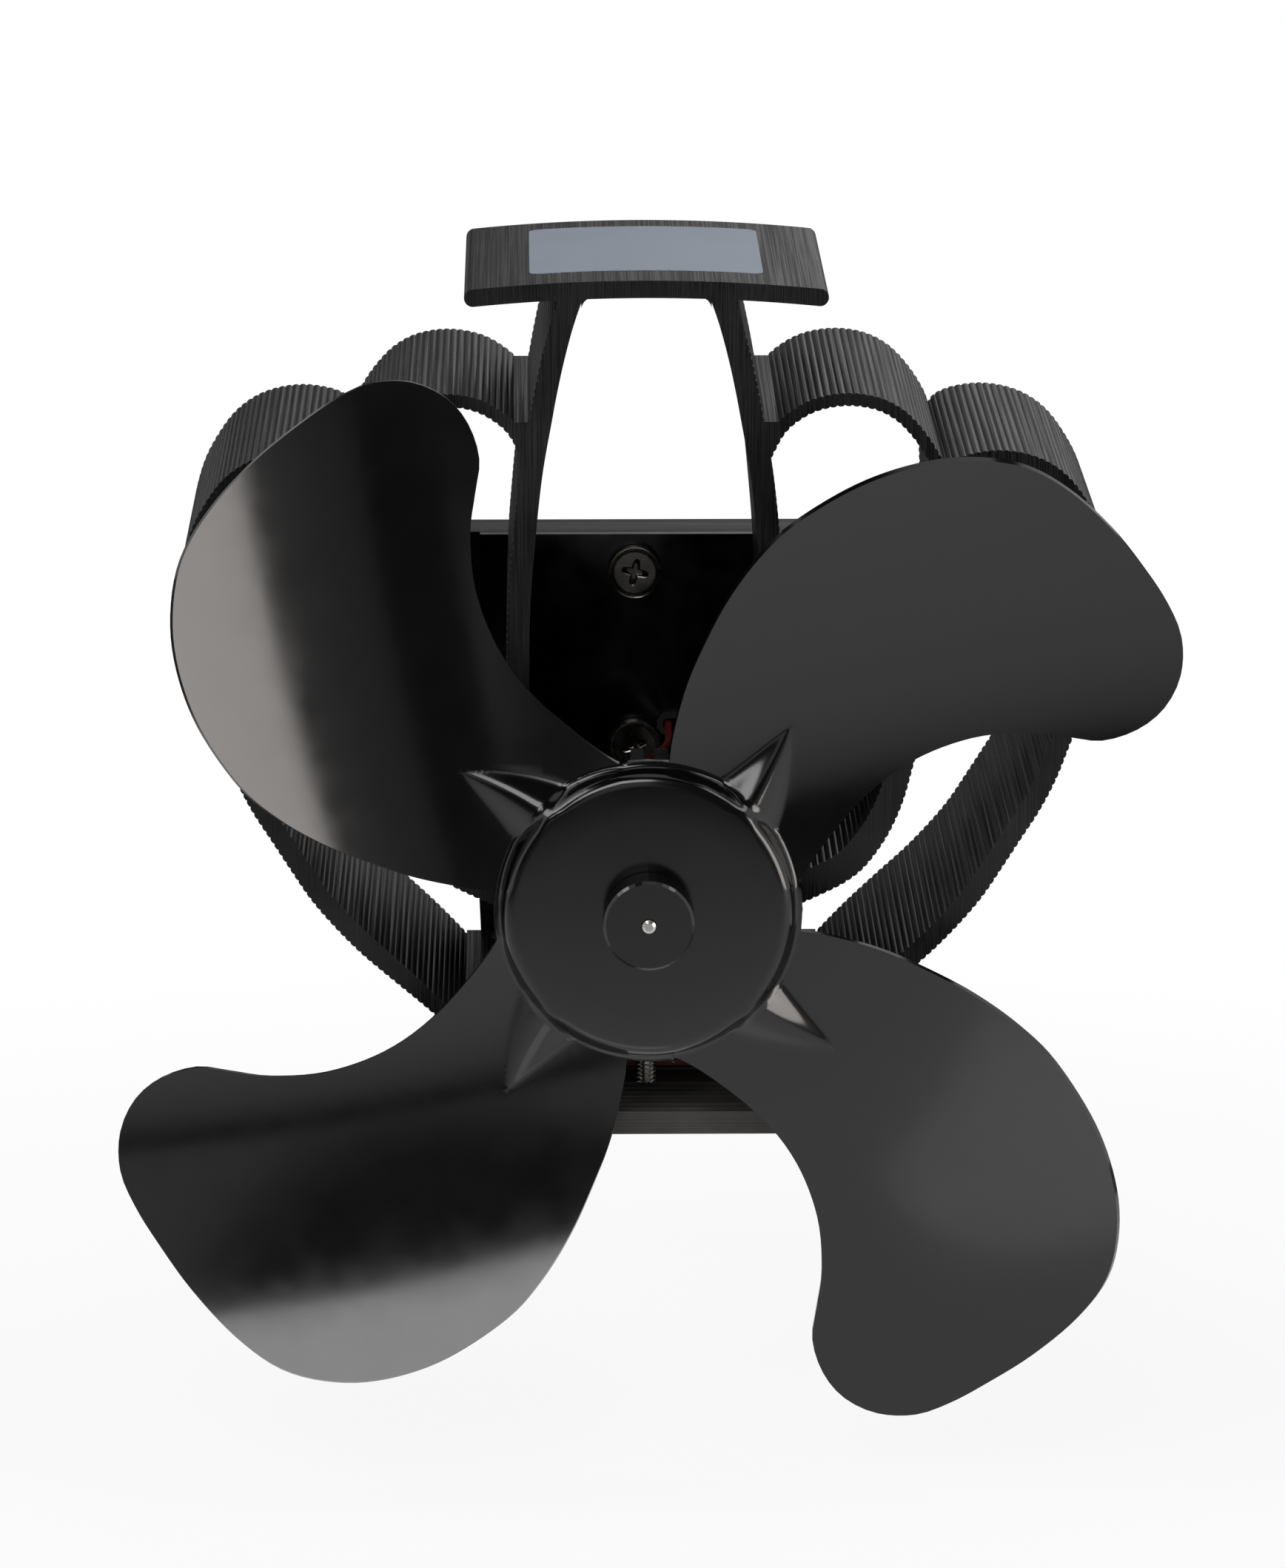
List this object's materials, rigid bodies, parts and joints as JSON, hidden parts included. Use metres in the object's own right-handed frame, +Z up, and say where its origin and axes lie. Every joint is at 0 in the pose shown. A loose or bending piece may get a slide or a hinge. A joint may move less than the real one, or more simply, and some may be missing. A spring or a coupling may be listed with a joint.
{
  "type": "stove fan",
  "caption": "heat-powered stove fan: a petal-shaped ribbed aluminium heat sink with a carrying handle over a thermoelectric base, and a pressed four-blade fan on a small motor",
  "frame": {"origin": "centre of the base's flat underside, on the surface the fan stands on", "axes": "+Z up, fan faces -Y, +X to the right of someone who looks at the fan's front"},
  "size_m": [0.1566, 0.0976, 0.1696],
  "materials": {
    "black_anodised_aluminium": "satin black anodised, finely ribbed",
    "satin_black_paint": "satin black paint",
    "gloss_black_steel": "gloss black paint",
    "black_zinc_screw": "black zinc plate",
    "bright_steel": "bright steel",
    "white_alumina": "matt",
    "bismuth_telluride": "dull",
    "graphite_pad": "matt",
    "red_silicone": "satin",
    "black_rubber": "matt",
    "black_nylon": "matt",
    "ferrite": "dull",
    "enamelled_copper": "enamelled",
    "brass": "plain",
    "carbon": "dull"
  },
  "bodies": {
    "stand": {"heat_sink": "black_anodised_aluminium", "base": "black_anodised_aluminium", "lower_graphite_pad": "graphite_pad", "hot_ceramic": "white_alumina", "pellet_core": "bismuth_telluride", "cold_ceramic": "white_alumina", "upper_graphite_pad": "graphite_pad", "module_seal": "red_silicone", "motor_bracket": "gloss_black_steel", "rear_block": "black_anodised_aluminium", "panel_screw_lower": "black_zinc_screw", "panel_screw_upper": "black_zinc_screw", "clamp_screw_front": "bright_steel", "clamp_screw_rear": "bright_steel", "clamp_washer_front": "bright_steel", "clamp_washer_rear": "bright_steel", "motor_can": "bright_steel", "motor_end_cap": "black_nylon", "bush_front": "brass", "bush_rear": "brass", "magnet_left": "ferrite", "magnet_right": "ferrite", "brush_left": "carbon", "brush_right": "carbon", "terminal_left": "bright_steel", "terminal_right": "bright_steel", "motor_screw_left": "bright_steel", "motor_screw_right": "bright_steel", "lead_red": "red_silicone", "lead_black": "black_rubber", "lead_grommet": "black_rubber"},
    "rotor": {"fan_blades": "satin_black_paint", "hub_boss": "satin_black_paint", "hub_ring": "bright_steel", "motor_shaft": "bright_steel", "armature_core": "ferrite", "coil_1": "enamelled_copper", "coil_2": "enamelled_copper", "coil_3": "enamelled_copper", "commutator": "brass"}
  },
  "joints": [
    {"name": "fan_spin", "type": "hinge", "parent": "stand", "child": "rotor", "pos_m": [0, -0.047, 0.0372], "axis": [0, 1, 0], "continuous": true}
  ]
}
